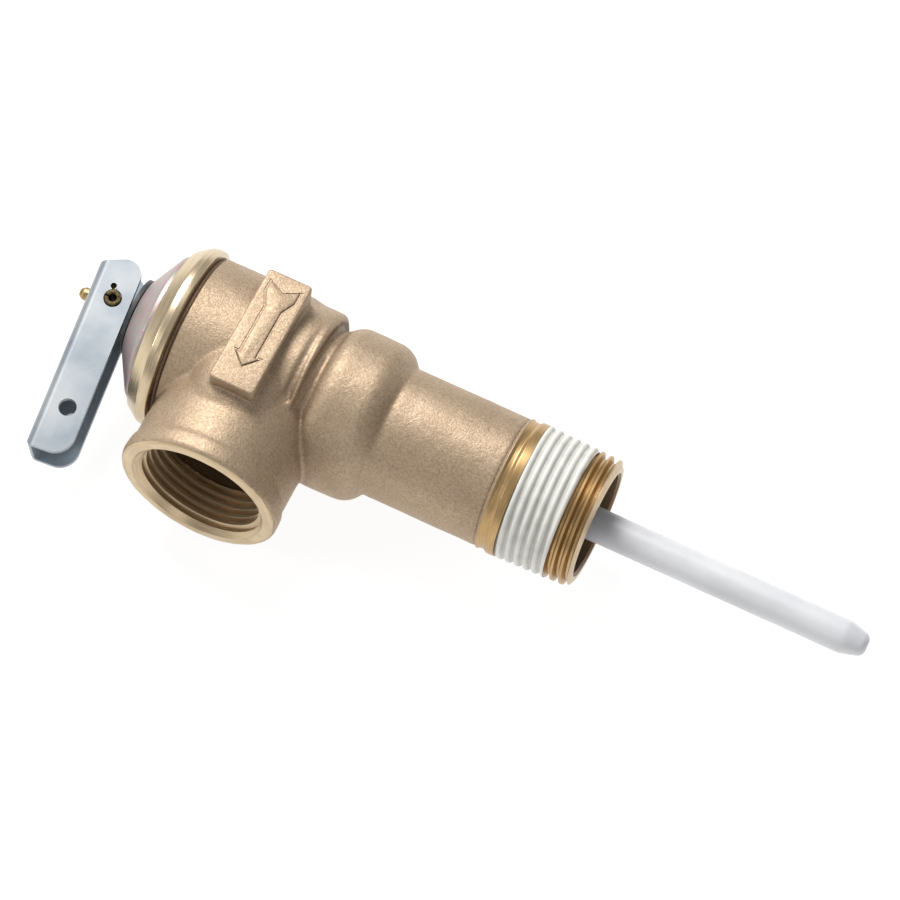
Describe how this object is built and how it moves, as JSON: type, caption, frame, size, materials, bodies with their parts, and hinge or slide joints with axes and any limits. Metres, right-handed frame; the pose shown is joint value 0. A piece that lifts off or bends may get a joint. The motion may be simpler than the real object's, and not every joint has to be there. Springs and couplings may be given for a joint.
{
  "type": "pressure relief valve",
  "caption": "Temperature and pressure relief valve: cast body with side outlet, long threaded shank, coated probe and a test lever that lifts the spring-loaded disc.",
  "frame": {"origin": "centre of the end face of the male inlet thread, on the valve's main axis", "axes": "+X along the main axis, out of the inlet towards the probe's tip; -Y out of the side outlet; +Z out of the flow-arrow plate"},
  "size_m": [0.1655, 0.0516, 0.0377],
  "materials": {
    "cast_bronze": "as-cast satin, turned bright on the threads and the rim",
    "machined_brass": "turned",
    "zinc_plated_steel": "bright zinc plate on rolled sheet",
    "chromated_steel": "zinc plate with a faint yellow-pink chromate",
    "spring_steel": "bright drawn",
    "copper": "drawn tube",
    "dark_washer": "blackened",
    "thread_sealant": "dried paste",
    "probe_coating": "smooth polymer coat",
    "silicone": "moulded",
    "gasket_fibre": "pressed fibre",
    "rubber": "moulded",
    "wax": "solid wax and copper powder"
  },
  "bodies": {
    "housing": {"valve_body": "cast_bronze", "thread_sealant": "thread_sealant", "bonnet": "chromated_steel", "bonnet_gasket": "gasket_fibre", "stem_bushing": "machined_brass", "lever_washer": "dark_washer", "upper_spring_seat": "zinc_plated_steel", "spring": "spring_steel", "probe_coating": "probe_coating", "probe_tube": "copper", "wax_charge": "wax", "head_seal": "rubber", "element_head": "machined_brass", "probe_carrier": "machined_brass", "carrier_ring": "spring_steel"},
    "thermostat": {"push_rod": "spring_steel"},
    "disc": {"disc_holder": "machined_brass", "seat_disc": "silicone", "disc_retainer": "spring_steel", "thrust_button": "machined_brass"},
    "spindle": {"stem": "machined_brass", "stem_clip": "spring_steel", "lever_pin": "machined_brass"},
    "test_lever": {"lever": "zinc_plated_steel"}
  },
  "joints": [
    {"name": "thermostat_push", "type": "slide", "parent": "housing", "child": "thermostat", "axis": [-1, 0, 0], "range_m": [0, 0.0025], "stiffness_N_per_m": 600, "springref_m": -0.002, "deforming": ["spring"]},
    {"name": "disc_lift", "type": "slide", "parent": "thermostat", "child": "disc", "axis": [-1, 0, 0], "range_m": [0, 0.0045], "deforming": ["spring"]},
    {"name": "stem_swivel", "type": "hinge", "parent": "disc", "child": "spindle", "pos_m": [-0.08, 0, 0], "axis": [1, 0, 0], "continuous": true},
    {"name": "lever_swing", "type": "hinge", "parent": "spindle", "child": "test_lever", "pos_m": [-0.10217, 0, 0], "axis": [0, 0.2079, -0.9781], "range_deg": [0, 75]}
  ],
  "couplings": [
    {"joint": "disc_lift", "follows": "lever_swing", "m_per_rad": 0.0033}
  ]
}
